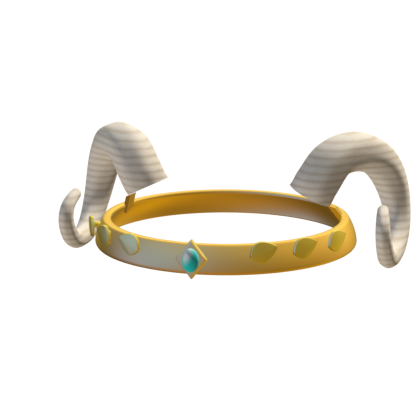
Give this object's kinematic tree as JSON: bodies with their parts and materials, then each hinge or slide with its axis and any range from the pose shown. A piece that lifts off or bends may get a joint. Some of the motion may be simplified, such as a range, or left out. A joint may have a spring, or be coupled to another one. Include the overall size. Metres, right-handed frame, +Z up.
{
  "type": "ram horns headband",
  "caption": "Round polished gold headband with a turquoise cabochon in a lozenge setting, shield-shaped studs beside it, and a curled ivory ram's horn on each side.",
  "frame": {"origin": "bottom centre of the bounding box, on the surface that the horns' curls rest on", "axes": "+Z up, -Y out of the front of the headband, +X to the wearer's left"},
  "size_m": [0.2684, 0.2102, 0.1019],
  "materials": {
    "gold": "polished gold plating over cast resin",
    "setting_gold": "polished pale gold plating over cast resin",
    "stud_gold": "satin olive gold plating over cast resin",
    "turquoise": "polished turquoise cabochon",
    "horn": "satin ivory resin with fine light brown growth lines"
  },
  "bodies": {
    "root": {"band": "gold", "setting": "setting_gold", "stone": "turquoise", "stud_left_1": "stud_gold", "stud_left_2": "stud_gold", "stud_left_3": "stud_gold", "stud_right_1": "stud_gold", "stud_right_2": "stud_gold", "stud_right_3": "stud_gold", "horn_left": "horn", "horn_right": "horn", "horn_bracket_left": "gold", "horn_bracket_right": "gold"}
  },
  "joints": []
}
